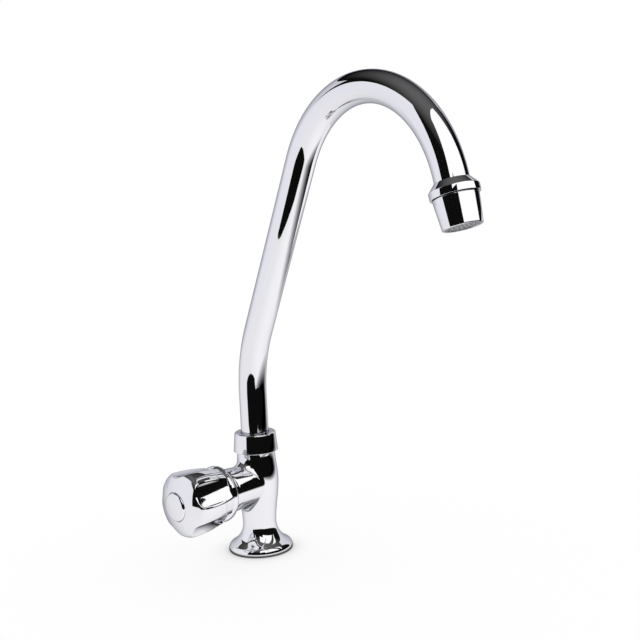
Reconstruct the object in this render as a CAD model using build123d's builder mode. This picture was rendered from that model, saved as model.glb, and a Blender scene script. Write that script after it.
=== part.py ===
from build123d import *
import os
from math import atan2, cos, degrees, radians, sin, sqrt

# Single-hole kitchen tap for one water supply: a cast column with a side valve, and a
# swan-neck spout that swivels on it. Millimetres, +Z up. The origin is the centre of the
# foot, on the worktop. The valve's barrel and knob lie along -X.
#
# "Station" means a distance along a piece's own axis: from the column's axis outwards for
# the valve and the knob, and from the tube's last bend downstream for the outlet.

# Clearances
running_fit = 0.05
sliding_fit = 0.10
static_fit = 0.10
face_gap = 0.10

# Shank, with a half-inch pipe thread outside and the waterway inside
shank_r = 20.955 / 2
shank_length = 55.0
shank_chamfer = 1.0
supply_thread_length = 17.0
thread_relief_width = 1.5
thread_relief_depth = 0.7
inlet_r = 6.0

# Column
foot_r = 22.25
foot_edge = 4.7
foot_edge_round = 5.0
foot_sole_round = 0.8
waist_r = 11.65
waist_z = 19.0
bulge_r = 14.6
bulge_z = 50.0
neck_z = 70.1
neck_step = 1.2
spigot_height = 8.4

# Seal in the underside of the foot
foot_seal_inner_r = 13.5
foot_seal_outer_r = 18.5
foot_seal_depth = 2.0

# What clamps the tap to a worktop of this thickness
worktop = 20.0
clamp_seal_t = 3.0
clamp_washer_t = 1.5
clamp_washer_r = 19.5
backnut_flange_r = 17.0
backnut_flange_t = 2.5
backnut_across_flats = 27.0
backnut_hex_t = 8.0

# Spout joint
tube_r = 9.5
tube_wall = 1.0
socket_depth = 16.0
spigot_wall = 2.4
lead_in = 0.8
slip_ring_t = 0.6
bush_flange_t = 1.6
bush_flange_width = 1.7
bush_bore_r = 6.4
bush_plug_length = 10.0
bush_end_gap = 1.0
spout_o_ring_d = 1.8
spout_o_ring_pitch = 5.0
collar_nut_wall = 3.4
collar_nut_taper = 1.15
collar_nut_lip = 2.0
collar_nut_round = 1.2
collar_gap = 0.35

# Spout centreline: up the column's axis, a lean, a straight leg, the crook and the nose
spout_azimuth = -99.5
riser_length = 29.26
lean_r = 94.2
lean_angle = 27.97
leg_length = 126.6
crook_r = 72.1
crook_angle = 135.3
nose_length = 3.5

# Outlet, by stations along the nose
outlet_socket_depth = 6.0
outlet_cone_length = 4.28
outlet_cone_start_wall = 0.5
outlet_band_end = 8.2
outlet_band_r = 13.67
outlet_band_round = 0.5
outlet_groove = 0.35
outlet_thread_r = 10.8
outlet_thread_length = 8.2
outlet_bore_r = 8.2
aerator_top_r = 12.55
aerator_mouth_r = 10.97
aerator_length = 16.3
aerator_mouth_round = 0.6
aerator_lip_r = 9.2
aerator_lip_t = 1.1
insert_wall_r = 10.1
insert_step = 0.5
insert_hole_r = 0.75
insert_hole_pitch = 2.4
insert_hole_rings = 3
screen_recess_r = 8.8
screen_recess_depth = 1.4
screen_t = 0.5
gasket_t = 1.6
gasket_bore_r = 7.6

# Valve, by stations from the column's axis
valve_z = 47.5
seat_station = 9.5
seat_height = 1.0
seat_hole_r = 4.6
seat_land_r = 6.4
seat_gap = 0.05
chamber_r = 9.2
barrel_end = 31.0
barrel_root_r = 13.2
barrel_wall = 4.9
barrel_blend = 7.0
barrel_edge_round = 0.8
headwork_thread_r = 10.2
duct_r = 3.4
duct_chamber_station = 12.5
duct_chamber_rise = 2.0
duct_top_station = 2.0
duct_top_rise = 5.5

# Plunger and its washer
plunger_travel = 5.0
plunger_side = 11.0
plunger_corner = 1.6
plunger_stem_length = 15.0
plunger_head_r = 7.6
plunger_head_t = 2.0
plunger_rim_t = 1.5
seat_washer_r = 7.0
seat_washer_t = 3.4
washer_screw_r = 1.7
washer_screw_head_r = 3.4
washer_screw_head_t = 1.5
washer_screw_grip = 3.2
plunger_web = 1.0
plunger_stop_gap = 0.5

# Spindle and headwork
spindle_thread_r = 3.9
spindle_thread_gap = 0.15
thrust_flange_r = 5.4
thrust_flange_t = 2.0
journal_r = 4.5
gland_length = 9.1
gland_r = 7.4
gland_chamfer = 0.6
spindle_o_ring_d = 1.5
spindle_o_ring_pitch = 3.4
headwork_washer_t = 1.0
headwork_across_flats = 24.0
headwork_hex_t = 6.0
circlip_t = 0.8
circlip_width = 1.9
circlip_depth = 0.8
circlip_opening = 60.0
circlip_land = 0.8
drive_side = 7.0

# Knob
knob_gap = 1.6
knob_length = 40.9
knob_r = 22.2
knob_widest_from_front = 11.5
knob_flank_r = 91.0
knob_dome_r = 38.0
knob_edge_round = 5.5
knob_seam_from_back = 13.4
knob_bead_r = 19.15
knob_bead_round = 3.4
knob_groove_depth = 1.95
knob_groove_width = 0.4
knob_fluted_step = 0.45
knob_skirt_gap = 0.55
knob_spigot_wall = 1.9
knob_spigot_length = 4.8
knob_hub_r = 7.0
knob_front_wall = 9.0
flute_count = 5
flute_phase = -65.0
flute_cutter_r = 18.0
flute_depth = 3.1
flute_taper = 3.0
flute_end_round = 4.5
flute_run_out = 0.06
knob_screw_r = 1.95
knob_screw_head_r = 3.8
knob_screw_head_t = 2.4
knob_screw_grip = 3.0
knob_screw_length = 14.0
screw_recess_r = 5.2
button_r = 9.6
button_depth = 2.4
button_proud = 1.0
button_edge_round = 1.1

# Planes of the turned profiles
front = Plane.XZ
valve_side = Plane(origin=(0, 0, valve_z), x_dir=(-1, 0, 0), z_dir=(0, 1, 0))
valve_axis = Axis((0, 0, valve_z), (-1, 0, 0))
spout_x = (cos(radians(spout_azimuth)), sin(radians(spout_azimuth)), 0)
spout_normal = (sin(radians(spout_azimuth)), -cos(radians(spout_azimuth)), 0)
spout_plane = Plane(origin=(0, 0, 0), x_dir=spout_x, z_dir=spout_normal)


def valve_station(station):
    """Plane square to the valve's axis, facing the knob, at a station."""
    return Plane(origin=(-station, 0, valve_z), x_dir=(0, 0, 1), z_dir=(-1, 0, 0))


def turned_ring(start, end, inner, outer):
    """Rectangle of a turned profile: stations along local X, radii along local Y."""
    with Locations(((start + end) / 2, (inner + outer) / 2)):
        Rectangle(end - start, outer - inner)


def turned_sleeve(low, high, inner, outer):
    """The same for the column's upright profiles: radii along local X, heights along Y."""
    with Locations(((inner + outer) / 2, (low + high) / 2)):
        Rectangle(outer - inner, high - low)


# Spout joint, from the tube outwards
bush_r = tube_r
socket_r = bush_r + running_fit
spigot_r = socket_r + spigot_wall
neck_r = spigot_r + neck_step
collar_nut_r = spigot_r + collar_nut_wall
spigot_top = neck_z + spigot_height
socket_floor_z = spigot_top - socket_depth
bush_flange_r = bush_r + bush_flange_width
bush_bottom = socket_floor_z + bush_end_gap
bush_flange_bottom = spigot_top + slip_ring_t
bush_flange_top = bush_flange_bottom + bush_flange_t
collar_lip_bottom = bush_flange_top + slip_ring_t + face_gap
collar_nut_top = collar_lip_bottom + collar_nut_lip
collar_nut_bottom = neck_z + face_gap
collar_hole_r = tube_r + collar_gap

# Valve, from the seat outwards
cup_floor = seat_station + seat_gap + seat_washer_t
plunger_head_end = cup_floor + plunger_head_t
plunger_end = plunger_head_end + plunger_stem_length
headwork_inner_end = plunger_head_end + plunger_travel + plunger_stop_gap
square_bore_end = plunger_end + plunger_travel + plunger_stop_gap
thrust_flange_start = square_bore_end + face_gap
thrust_flange_end = thrust_flange_start + thrust_flange_t
gland_start = thrust_flange_end + face_gap
gland_end = gland_start + gland_length
circlip_start = gland_end + face_gap
journal_end = circlip_start + circlip_t + circlip_land
hex_start = barrel_end + headwork_washer_t
barrel_end_r = headwork_thread_r + static_fit + barrel_wall
barrel_blend_room = neck_z - valve_z - barrel_end_r
plunger_bore_start = cup_floor + washer_screw_grip + plunger_web
spindle_tip = plunger_bore_start + plunger_travel + plunger_stop_gap

duct_start = Vector(-duct_chamber_station, 0, valve_z + duct_chamber_rise)
duct_end = Vector(-duct_top_station, 0, socket_floor_z + duct_top_rise)

# Knob, from its back to its front
knob_back = barrel_end + knob_gap
knob_front = knob_back + knob_length
knob_seam = knob_back + knob_seam_from_back
knob_widest = knob_front - knob_widest_from_front
knob_bead = knob_back + knob_bead_round
knob_bead_middle_r = knob_bead_r - knob_bead_round
knob_groove_r = knob_bead_r - knob_groove_depth
knob_groove = knob_bead + sqrt(knob_bead_round**2 - (knob_groove_r - knob_bead_middle_r) ** 2)
knob_seam_r = knob_r - (knob_widest - knob_seam) ** 2 / (2 * knob_flank_r)
knob_skirt_bore = headwork_across_flats / 2 / cos(radians(30)) + knob_skirt_gap
knob_spigot_r = knob_skirt_bore + knob_spigot_wall
knob_cavity_r = knob_spigot_r + static_fit
knob_cavity_end = knob_front - knob_front_wall
hub_start = journal_end + face_gap
screw_seat = knob_cavity_end - knob_screw_grip
drive_end = screw_seat - knob_screw_grip
dome_drop = knob_dome_r - sqrt(knob_dome_r**2 - button_r**2)
button_back = knob_front - dome_drop - button_depth
knob_fluted_start = knob_groove + knob_groove_width

# Flutes, seen along the floor of one from the centre of the knob's dome: the floor leans
# outwards, rounds over at the front and runs out on the dome.
dome_middle = knob_front - knob_dome_r
flute_lean = radians(flute_taper)
flute_floor = (knob_seam_r - flute_depth) * cos(flute_lean)
flute_floor -= (knob_seam - dome_middle) * sin(flute_lean)
flute_turn_height = flute_floor - flute_end_round
flute_turn_reach = knob_dome_r - flute_end_round + flute_run_out
flute_turn = sqrt(flute_turn_reach**2 - flute_turn_height**2)
flute_turn_angle = degrees(atan2(flute_turn, flute_turn_height))
flute_begin = (knob_groove + knob_fluted_start) / 2 - dome_middle
flute_begin = (flute_begin + flute_floor * sin(flute_lean)) / cos(flute_lean)
flute_side = Plane(
    origin=(-dome_middle, 0, valve_z),
    x_dir=(-cos(flute_lean), 0, sin(flute_lean)),
    z_dir=(0, 1, 0),
)

# Outlet, from the end of the tube's bare stretch downstream
aerator_start = outlet_band_end + outlet_groove
aerator_end = aerator_start + aerator_length
thread_end = outlet_band_end + outlet_thread_length
insert_start = thread_end + gasket_t
lip_start = aerator_end - aerator_lip_t

# Column, foot, barrel and shank are one casting.
with BuildPart() as body_casting:
    with BuildSketch(front):
        with BuildLine():
            sole = Line((0, 0), (foot_r, 0))
            edge = Line(sole @ 1, (foot_r, foot_edge))
            flare = TangentArc((waist_r, waist_z), edge @ 1, tangent=(0, -1))
            swell = Spline(flare @ 0, (bulge_r, bulge_z), tangents=((0, 1), (0, 1)))
            shoulder = Spline(swell @ 1, (neck_r, neck_z), tangents=((0, 1), (0, 1)))
            Polyline(
                shoulder @ 1, (spigot_r, neck_z), (spigot_r, spigot_top), (0, spigot_top), (0, 0)
            )
        make_face()
        rim = vertices().sort_by(Axis.X)[-2:].sort_by(Axis.Y)
        fillet(rim[1], foot_edge_round)
        fillet(rim[0], foot_sole_round)
    revolve(axis=Axis.Z)

    with BuildSketch(valve_side):
        with BuildLine():
            Polyline(
                (0, 0), (0, barrel_root_r), (barrel_end, barrel_end_r), (barrel_end, 0), close=True
            )
        make_face()
        fillet(vertices().sort_by(Axis.X)[-2:].sort_by(Axis.Y)[-1], barrel_edge_round)
    revolve(axis=valve_axis)
    seam = edges().filter_by(GeomType.BSPLINE).filter_by(lambda e: e.bounding_box().max.X < 0)
    fillet(seam, min(barrel_blend, barrel_blend_room))

    # The shank hangs from the sole, inside the ring of the foot seal.
    with BuildSketch(front):
        turned_sleeve(-shank_length, 0, 0, shank_r)
        chamfer(vertices().group_by(Axis.Y)[0].sort_by(Axis.X)[-1], shank_chamfer)
    revolve(axis=Axis.Z)
    relief_z = shank_chamfer + supply_thread_length - shank_length
    with BuildSketch(front):
        turned_sleeve(
            relief_z, relief_z + thread_relief_width, shank_r - thread_relief_depth, shank_r
        )
    revolve(axis=Axis.Z, mode=Mode.SUBTRACT)
    with BuildSketch(front):
        turned_sleeve(0, foot_seal_depth, foot_seal_inner_r, foot_seal_outer_r)
    revolve(axis=Axis.Z, mode=Mode.SUBTRACT)

    # Waterways: riser, seat, chamber with the headwork's thread, duct and spout socket
    with BuildSketch(front):
        turned_sleeve(-shank_length, valve_z + seat_hole_r, 0, inlet_r)
    revolve(axis=Axis.Z, mode=Mode.SUBTRACT)
    with BuildSketch(valve_side):
        turned_ring(0, seat_station, 0, seat_hole_r)
        turned_ring(seat_station - seat_height, headwork_inner_end, seat_land_r, chamber_r)
        turned_ring(seat_station, headwork_inner_end, 0, seat_land_r)
        turned_ring(headwork_inner_end, barrel_end, 0, headwork_thread_r + static_fit)
    revolve(axis=valve_axis, mode=Mode.SUBTRACT)
    with BuildSketch(Plane(duct_start, z_dir=duct_end - duct_start)):
        Circle(duct_r)
    extrude(amount=(duct_end - duct_start).length, mode=Mode.SUBTRACT)
    with BuildSketch(front):
        turned_sleeve(socket_floor_z, spigot_top, 0, socket_r)
        with BuildLine():
            Polyline(
                (0, spigot_top),
                (socket_r + lead_in, spigot_top),
                (socket_r, spigot_top - lead_in),
                (0, spigot_top - lead_in),
                close=True,
            )
        make_face()
    revolve(axis=Axis.Z, mode=Mode.SUBTRACT)
body_casting.part.label = "body_casting"

# Seals, washer and nut that clamp the foot to the worktop
with BuildPart() as foot_seal:
    with BuildSketch(front):
        turned_sleeve(
            0, foot_seal_depth, foot_seal_inner_r + static_fit, foot_seal_outer_r - static_fit
        )
    revolve(axis=Axis.Z)
foot_seal.part.label = "foot_seal"

clamp_seal_bottom = -worktop - clamp_seal_t
with BuildPart() as clamp_seal:
    with BuildSketch(front):
        turned_sleeve(clamp_seal_bottom, -worktop, shank_r + static_fit, clamp_washer_r)
    revolve(axis=Axis.Z)
clamp_seal.part.label = "clamp_seal"

clamp_washer_bottom = clamp_seal_bottom - clamp_washer_t
with BuildPart() as clamp_washer:
    with BuildSketch(front):
        turned_sleeve(
            clamp_washer_bottom, clamp_seal_bottom, shank_r + static_fit, clamp_washer_r
        )
    revolve(axis=Axis.Z)
clamp_washer.part.label = "clamp_washer"

backnut_flange_bottom = clamp_washer_bottom - backnut_flange_t
backnut_bottom = backnut_flange_bottom - backnut_hex_t
with BuildPart() as backnut:
    with BuildSketch(Plane.XY.offset(backnut_bottom)):
        RegularPolygon(backnut_across_flats / 2, 6, major_radius=False)
    extrude(amount=backnut_hex_t)
    with BuildSketch(Plane.XY.offset(backnut_flange_bottom)):
        Circle(backnut_flange_r)
    extrude(amount=backnut_flange_t)
    with BuildSketch(Plane.XY.offset(backnut_bottom)):
        Circle(shank_r + static_fit)
    extrude(amount=clamp_washer_bottom - backnut_bottom, mode=Mode.SUBTRACT)
backnut.part.label = "backnut"

# Spout: the tube is bent round two arcs that run tangent into straight stretches.
with BuildLine(spout_plane) as spout_line:
    riser = Line((0, bush_flange_top), (0, bush_flange_top + riser_length))
    lean = JernArc(riser @ 1, riser % 1, lean_r, -lean_angle)
    leg = Line(lean @ 1, lean @ 1 + lean % 1 * leg_length)
    crook = JernArc(leg @ 1, leg % 1, crook_r, -crook_angle)
    nose = Line(crook @ 1, crook @ 1 + crook % 1 * (nose_length + outlet_socket_depth))
outlet_flow = crook % 1
outlet_point = crook @ 1 + outlet_flow * nose_length
outlet_side = Plane(origin=outlet_point, x_dir=outlet_flow, z_dir=spout_normal)
outlet_axis = Axis(outlet_point, outlet_flow)

with BuildPart() as spout_tube:
    with BuildSketch(Plane.XY.offset(bush_flange_top)):
        Circle(tube_r)
        Circle(tube_r - tube_wall, mode=Mode.SUBTRACT)
    sweep(path=spout_line.wire())
spout_tube.part.label = "spout_tube"

bush_plug_r = tube_r - tube_wall - running_fit
o_ring_zs = [
    (bush_bottom + bush_flange_bottom) / 2 + side * spout_o_ring_pitch / 2 for side in (-1, 1)
]
with BuildPart() as spout_foot:
    with BuildSketch(front):
        turned_sleeve(bush_bottom, bush_flange_bottom, bush_bore_r, bush_r)
        turned_sleeve(bush_flange_bottom, bush_flange_top, bush_bore_r, bush_flange_r)
        turned_sleeve(
            bush_flange_top, bush_flange_top + bush_plug_length, bush_bore_r, bush_plug_r
        )
        for z in o_ring_zs:
            with Locations((bush_r - spout_o_ring_d / 2, z)):
                Rectangle(spout_o_ring_d, spout_o_ring_d + 2 * static_fit, mode=Mode.SUBTRACT)
    revolve(axis=Axis.Z)
spout_foot.part.label = "spout_foot"

with BuildPart() as spout_o_rings:
    with Locations(*[(0, 0, z) for z in o_ring_zs]):
        Torus(bush_r - spout_o_ring_d / 2, spout_o_ring_d / 2)
spout_o_rings.part.label = "spout_o_rings"

with BuildPart() as lower_slip_ring:
    with BuildSketch(front):
        turned_sleeve(
            spigot_top, bush_flange_bottom - running_fit, socket_r + lead_in, spigot_r
        )
    revolve(axis=Axis.Z)
lower_slip_ring.part.label = "lower_slip_ring"

with BuildPart() as upper_slip_ring:
    with BuildSketch(front):
        turned_sleeve(
            bush_flange_top, bush_flange_top + slip_ring_t, tube_r + static_fit, bush_flange_r
        )
    revolve(axis=Axis.Z)
upper_slip_ring.part.label = "upper_slip_ring"

# Tapered ring nut: its lip holds the flange of the bush down on the spigot.
with BuildPart() as collar_nut:
    with BuildSketch(front):
        with BuildLine():
            Polyline(
                (spigot_r + static_fit, collar_nut_bottom),
                (collar_nut_r, collar_nut_bottom),
                (collar_nut_r - collar_nut_taper, collar_nut_top),
                (collar_hole_r, collar_nut_top),
                (collar_hole_r, collar_lip_bottom),
                (spigot_r + static_fit, collar_lip_bottom),
                close=True,
            )
        make_face()
        fillet(vertices().group_by(Axis.Y)[-1].sort_by(Axis.X)[-1], collar_nut_round)
    revolve(axis=Axis.Z)
collar_nut.part.label = "collar_nut"

# Flared collar on the end of the tube: socket, cone, band and the aerator's thread
with BuildPart() as outlet_collar:
    with BuildSketch(outlet_side):
        with BuildLine():
            Polyline(
                (0, tube_r + running_fit),
                (0, tube_r + outlet_cone_start_wall),
                (outlet_cone_length, outlet_band_r),
                (outlet_band_end, outlet_band_r),
                (outlet_band_end, outlet_thread_r),
                (thread_end, outlet_thread_r),
                (thread_end, outlet_bore_r),
                (outlet_socket_depth + running_fit, outlet_bore_r),
                (outlet_socket_depth + running_fit, tube_r + running_fit),
                close=True,
            )
        make_face()
        fillet(vertices().group_by(Axis.Y)[-1], outlet_band_round)
    revolve(axis=outlet_axis)
outlet_collar.part.label = "outlet_collar"

aerator_slope = (aerator_top_r - aerator_mouth_r) / aerator_length
aerator_bore_r = insert_wall_r + static_fit
with BuildPart() as aerator_housing:
    with BuildSketch(outlet_side):
        with BuildLine():
            Polyline(
                (aerator_start, outlet_thread_r + static_fit),
                (aerator_start, aerator_top_r),
                (aerator_end, aerator_mouth_r),
                (aerator_end, aerator_lip_r),
                (lip_start, aerator_lip_r),
                (lip_start, aerator_bore_r),
                (thread_end, aerator_bore_r),
                (thread_end, outlet_thread_r + static_fit),
                close=True,
            )
        make_face()
        mouth = vertices().group_by(Axis.X)[-1].sort_by(Axis.Y)
        fillet(mouth[-1], aerator_mouth_round)
        fillet(vertices().group_by(Axis.Y)[-1], outlet_band_round)
    revolve(axis=outlet_axis)
aerator_housing.part.label = "aerator_housing"

with BuildPart() as aerator_gasket:
    with BuildSketch(outlet_side):
        turned_ring(thread_end, insert_start, gasket_bore_r, insert_wall_r)
    revolve(axis=outlet_axis)
aerator_gasket.part.label = "aerator_gasket"

insert_end = aerator_end - insert_step
screen_floor = insert_start + screen_recess_depth
with BuildPart() as aerator_insert:
    with BuildSketch(outlet_side):
        turned_ring(insert_start, lip_start, 0, insert_wall_r)
        turned_ring(lip_start, insert_end, 0, aerator_lip_r - static_fit)
        turned_ring(insert_start, screen_floor, 0, screen_recess_r)
    revolve(axis=outlet_axis)
    with BuildSketch(Plane(outlet_point + outlet_flow * insert_start, z_dir=outlet_flow)):
        Circle(screen_recess_r)
    extrude(amount=screen_recess_depth, mode=Mode.SUBTRACT)
    with BuildSketch(Plane(outlet_point + outlet_flow * screen_floor, z_dir=outlet_flow)):
        Circle(insert_hole_r)
        for ring in range(1, insert_hole_rings + 1):
            with PolarLocations(ring * insert_hole_pitch, 6 * ring):
                Circle(insert_hole_r)
    extrude(amount=insert_end - screen_floor, mode=Mode.SUBTRACT)
aerator_insert.part.label = "aerator_insert"

with BuildPart() as aerator_screens:
    with BuildSketch(outlet_side):
        for layer in (0, 1):
            screen_end = screen_floor - layer * (screen_t + face_gap)
            turned_ring(screen_end - screen_t, screen_end, 0, screen_recess_r - static_fit)
    revolve(axis=outlet_axis)
aerator_screens.part.label = "aerator_screens"

# Headwork: thread, hexagon and gland, with a square way for the plunger
with BuildPart() as headwork_body:
    with BuildSketch(valve_side):
        turned_ring(headwork_inner_end, hex_start, 0, headwork_thread_r)
        turned_ring(hex_start, gland_end, 0, gland_r)
        chamfer(vertices().group_by(Axis.X)[-1].sort_by(Axis.Y)[-1], gland_chamfer)
    revolve(axis=valve_axis)
    with BuildSketch(valve_station(hex_start)):
        RegularPolygon(headwork_across_flats / 2, 6, major_radius=False)
    extrude(amount=headwork_hex_t)
    with BuildSketch(valve_station(headwork_inner_end)):
        RectangleRounded(
            plunger_side + 2 * sliding_fit, plunger_side + 2 * sliding_fit, plunger_corner
        )
    extrude(amount=square_bore_end - headwork_inner_end, mode=Mode.SUBTRACT)
    with BuildSketch(valve_side):
        turned_ring(square_bore_end, gland_start, 0, thrust_flange_r + sliding_fit)
        turned_ring(gland_start, gland_end, 0, journal_r + running_fit)
    revolve(axis=valve_axis, mode=Mode.SUBTRACT)
headwork_body.part.label = "headwork_body"

with BuildPart() as headwork_washer:
    with BuildSketch(valve_side):
        turned_ring(
            barrel_end, hex_start, headwork_thread_r + static_fit, headwork_across_flats / 2
        )
    revolve(axis=valve_axis)
headwork_washer.part.label = "headwork_washer"

# Plunger: a square nut with a cupped head for the washer
with BuildPart() as plunger:
    with BuildSketch(valve_side):
        turned_ring(cup_floor - plunger_rim_t, plunger_head_end, 0, plunger_head_r)
    revolve(axis=valve_axis)
    with BuildSketch(valve_station(plunger_head_end)):
        RectangleRounded(plunger_side, plunger_side, plunger_corner)
    extrude(amount=plunger_stem_length)
    with BuildSketch(valve_side):
        turned_ring(cup_floor - plunger_rim_t, cup_floor, 0, seat_washer_r + static_fit)
        turned_ring(cup_floor, cup_floor + washer_screw_grip, 0, washer_screw_r + running_fit)
        turned_ring(plunger_bore_start, plunger_end, 0, spindle_thread_r + spindle_thread_gap)
    revolve(axis=valve_axis, mode=Mode.SUBTRACT)
plunger.part.label = "plunger"

washer_face = seat_station + seat_gap
with BuildPart() as seat_washer:
    with BuildSketch(valve_side):
        turned_ring(washer_face, cup_floor, washer_screw_r + running_fit, seat_washer_r)
    revolve(axis=valve_axis)
seat_washer.part.label = "seat_washer"

with BuildPart() as washer_screw:
    with BuildSketch(valve_side):
        turned_ring(washer_face - washer_screw_head_t, washer_face, 0, washer_screw_head_r)
        turned_ring(washer_face, cup_floor + washer_screw_grip, 0, washer_screw_r)
    revolve(axis=valve_axis)
washer_screw.part.label = "washer_screw"

# Spindle: thread, thrust flange, journal with two O-ring grooves and a clip groove, and a
# square end that drives the knob
o_ring_middle = (gland_start + gland_end) / 2
spindle_rings = [o_ring_middle + side * spindle_o_ring_pitch / 2 for side in (-1, 1)]
with BuildPart() as spindle:
    with BuildSketch(valve_side):
        turned_ring(spindle_tip, thrust_flange_start, 0, spindle_thread_r)
        turned_ring(thrust_flange_start, thrust_flange_end, 0, thrust_flange_r)
        turned_ring(thrust_flange_end, drive_end, 0, journal_r)
        for station in spindle_rings:
            with Locations((station, journal_r - spindle_o_ring_d / 2)):
                Rectangle(
                    spindle_o_ring_d + 2 * static_fit, spindle_o_ring_d, mode=Mode.SUBTRACT
                )
        with Locations((circlip_start + circlip_t / 2, journal_r - circlip_depth / 2)):
            Rectangle(circlip_t + static_fit, circlip_depth, mode=Mode.SUBTRACT)
    revolve(axis=valve_axis)
    with BuildSketch(valve_station(journal_end)):
        Circle(thrust_flange_r)
        Rectangle(drive_side, drive_side, mode=Mode.SUBTRACT)
    extrude(amount=drive_end - journal_end, mode=Mode.SUBTRACT)
    screw_tip = screw_seat - knob_screw_length
    with BuildSketch(valve_station(screw_tip - face_gap)):
        Circle(knob_screw_r + running_fit)
    extrude(amount=drive_end - screw_tip + face_gap, mode=Mode.SUBTRACT)
spindle.part.label = "spindle"

with BuildPart() as spindle_o_rings:
    with Locations(*[valve_station(station) for station in spindle_rings]):
        Torus(journal_r - spindle_o_ring_d / 2, spindle_o_ring_d / 2)
spindle_o_rings.part.label = "spindle_o_rings"

circlip_inner_r = journal_r - circlip_depth + running_fit
with BuildPart() as spindle_circlip:
    with BuildSketch(valve_side):
        turned_ring(
            circlip_start, circlip_start + circlip_t, circlip_inner_r, circlip_inner_r + circlip_width
        )
    revolve(axis=valve_axis, revolution_arc=360 - circlip_opening)
spindle_circlip.part.label = "spindle_circlip"

# Cutter for one flute: a round bar along the floor, bent over at the front
with BuildPart() as flute_cutter:
    with BuildLine(flute_side) as flute_line:
        bar_height = flute_floor + flute_cutter_r
        bar = Line((flute_begin, bar_height), (flute_turn, bar_height))
        JernArc(bar @ 1, bar % 1, flute_end_round + flute_cutter_r, -flute_turn_angle)
    with BuildSketch(Plane(bar @ 0, z_dir=bar % 0)):
        Circle(flute_cutter_r)
    sweep(path=flute_line.wire())


def cut_flutes():
    """Cut every flute out of the part that is being built."""
    for flute in range(flute_count):
        turned = flute_cutter.part.rotate(valve_axis, flute_phase + flute * 360 / flute_count)
        add(turned, mode=Mode.SUBTRACT)


with BuildPart() as knob_shell:
    with BuildSketch(valve_side):
        with BuildLine():
            dome_edge = (dome_middle + sqrt(knob_dome_r**2 - knob_r**2), knob_r)
            flank = TangentArc((knob_widest, knob_r), (knob_seam, knob_seam_r), tangent=(-1, 0))
            Line(flank @ 0, dome_edge)
            RadiusArc(dome_edge, (knob_front, 0), knob_dome_r)
            Polyline((knob_front, 0), (knob_seam, 0), (knob_seam, knob_seam_r))
        make_face()
        fillet(vertices().sort_by_distance(dome_edge)[0], knob_edge_round)
    revolve(axis=valve_axis)
    cut_flutes()
    with BuildSketch(valve_side):
        turned_ring(knob_seam, knob_cavity_end, 0, knob_cavity_r)
    revolve(axis=valve_axis, mode=Mode.SUBTRACT)
    with BuildSketch(valve_station(hub_start)):
        Circle(knob_hub_r)
    extrude(amount=knob_cavity_end - hub_start)
    with BuildSketch(valve_station(hub_start)):
        Rectangle(drive_side + 2 * running_fit, drive_side + 2 * running_fit)
    extrude(amount=drive_end + face_gap - hub_start, mode=Mode.SUBTRACT)
    with BuildSketch(valve_side):
        turned_ring(drive_end, screw_seat, 0, knob_screw_r + static_fit)
        turned_ring(screw_seat, button_back, 0, screw_recess_r)
        turned_ring(button_back, knob_front, 0, button_r + static_fit)
    revolve(axis=valve_axis, mode=Mode.SUBTRACT)
knob_shell.part.label = "knob_shell"

with BuildPart() as knob_rear_ring:
    with BuildSketch(valve_side):
        with BuildLine():
            Polyline(
                (knob_seam + knob_spigot_length, knob_skirt_bore),
                (knob_seam + knob_spigot_length, knob_spigot_r),
                (knob_seam, knob_spigot_r),
                (knob_seam, knob_seam_r),
                (knob_fluted_start, knob_bead_r + knob_fluted_step),
                (knob_fluted_start, knob_groove_r),
                (knob_groove, knob_groove_r),
            )
            ThreePointArc(
                (knob_groove, knob_groove_r),
                (knob_bead, knob_bead_r),
                (knob_back, knob_bead_middle_r),
            )
            Polyline(
                (knob_back, knob_bead_middle_r),
                (knob_back, knob_skirt_bore),
                (knob_seam + knob_spigot_length, knob_skirt_bore),
            )
        make_face()
    revolve(axis=valve_axis)
    cut_flutes()
knob_rear_ring.part.label = "knob_rear_ring"

with BuildPart() as index_button:
    with BuildSketch(valve_side):
        with BuildLine():
            button_edge = (knob_front + button_proud - dome_drop, button_r)
            RadiusArc(button_edge, (knob_front + button_proud, 0), knob_dome_r)
            Polyline(
                (knob_front + button_proud, 0), (button_back, 0), (button_back, button_r), button_edge
            )
        make_face()
        fillet(vertices().sort_by_distance(button_edge)[0], button_edge_round)
    revolve(axis=valve_axis)
index_button.part.label = "index_button"

with BuildPart() as knob_screw:
    with BuildSketch(valve_side):
        turned_ring(screw_tip, screw_seat, 0, knob_screw_r)
        turned_ring(screw_seat, screw_seat + knob_screw_head_t, 0, knob_screw_head_r)
    revolve(axis=valve_axis)
knob_screw.part.label = "knob_screw"

pieces = (
    body_casting, foot_seal, clamp_seal, clamp_washer, backnut,
    headwork_body, headwork_washer, collar_nut, lower_slip_ring,
    spout_tube, spout_foot, spout_o_rings, upper_slip_ring,
    outlet_collar, aerator_housing, aerator_insert, aerator_screens, aerator_gasket,
    knob_shell, knob_rear_ring, index_button, knob_screw,
    spindle, spindle_o_rings, spindle_circlip,
    plunger, seat_washer, washer_screw,
)
os.makedirs("parts", exist_ok=True)
for piece in pieces:
    export_step(piece.part, f"parts/{piece.part.label}.step")
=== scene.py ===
"""Kitchen tap with a swivelling swan-neck spout and a fluted side knob, dressed on its CAD frame.

Metres, +Z up. The origin is the middle of the foot, on the worktop. The valve and the knob
point along -X. A station is a distance along a piece's own axis.
"""

from math import asin, atan2, cos, degrees, hypot, pi, radians, sin, sqrt, tan

import bmesh
import bpy
from bpy.props import FloatProperty, FloatVectorProperty, IntProperty, PointerProperty
from mathutils import Matrix, Vector


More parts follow.
